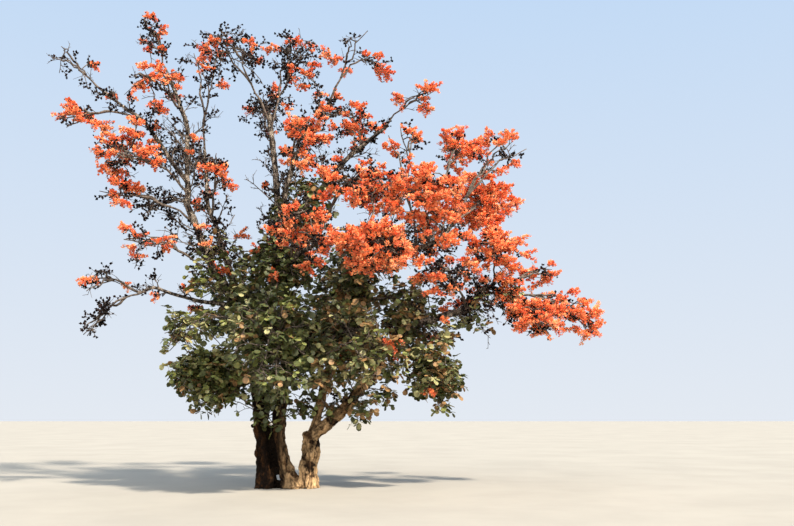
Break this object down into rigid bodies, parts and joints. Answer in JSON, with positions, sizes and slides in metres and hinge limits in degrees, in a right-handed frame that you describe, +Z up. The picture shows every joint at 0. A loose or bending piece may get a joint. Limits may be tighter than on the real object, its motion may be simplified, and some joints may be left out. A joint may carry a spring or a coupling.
{
  "type": "flame tree",
  "caption": "Wide flame tree in flower: a forked trunk on a flared foot, zigzag boughs, leafy below, orange blossom above.",
  "frame": {"origin": "in the flat cut under the trunk's foot, at ground level", "axes": "+Z up the trunk, +X along the crown's widest reach, -Y to the front"},
  "size_m": [11.8611, 7.8745, 10.3935],
  "materials": {
    "bark": "rough, fissured",
    "blossom": "silky",
    "bud": "velvety",
    "leaf": "leathery"
  },
  "bodies": {
    "root": {"trunk_foot": "bark", "stem_left": "bark", "stem_middle": "bark", "fork_outer": "bark", "fork_inner": "bark", "leader": "bark", "bough_left": "bark", "bough_left_inner": "bark", "bough_left_upright": "bark", "bough_left_outer": "bark", "bough_low_left": "bark", "bough_top_right": "bark", "bough_right_up": "bark", "bough_front": "bark", "bough_right": "bark", "bough_right_low": "bark", "bough_back": "bark", "crown_far_left": "bud", "crown_left_wing": "blossom", "crown_peak": "bud", "crown_peak_skirt": "blossom", "crown_inner_spike": "bud", "crown_left_flowers": "blossom", "crown_left_fringe": "blossom", "crown_left_inside": "bud", "crown_inner_flowers": "blossom", "crown_low_left": "blossom", "crown_lowest_left": "bud", "crown_left_droop": "bud", "crown_top_left": "bud", "crown_top_middle": "bud", "crown_top_right": "blossom", "crown_front_heart": "blossom", "crown_back_heart": "blossom", "crown_right_crest": "blossom", "crown_right_column": "blossom", "crown_right_fan": "blossom", "crown_right_point": "blossom", "crown_front_arch": "blossom", "crown_front_cloud": "blossom", "crown_centre_band": "blossom", "crown_right_cloud": "blossom", "crown_right_shoulder": "blossom", "crown_right_hanging": "blossom", "crown_right_wing": "blossom", "crown_right_skirt": "blossom", "crown_right_tip": "blossom", "crown_right_inside": "blossom", "crown_back_left": "bud", "crown_back_top": "bud", "crown_back_right": "blossom", "crown_back_low_right": "blossom", "leaves_left": "leaf", "leaves_left_low": "leaf", "leaves_front": "leaf", "leaves_centre_right": "leaf", "leaves_right": "leaf", "leaves_hanging": "leaf", "leaves_back_left": "leaf", "leaves_back_right": "leaf"}
  },
  "joints": []
}
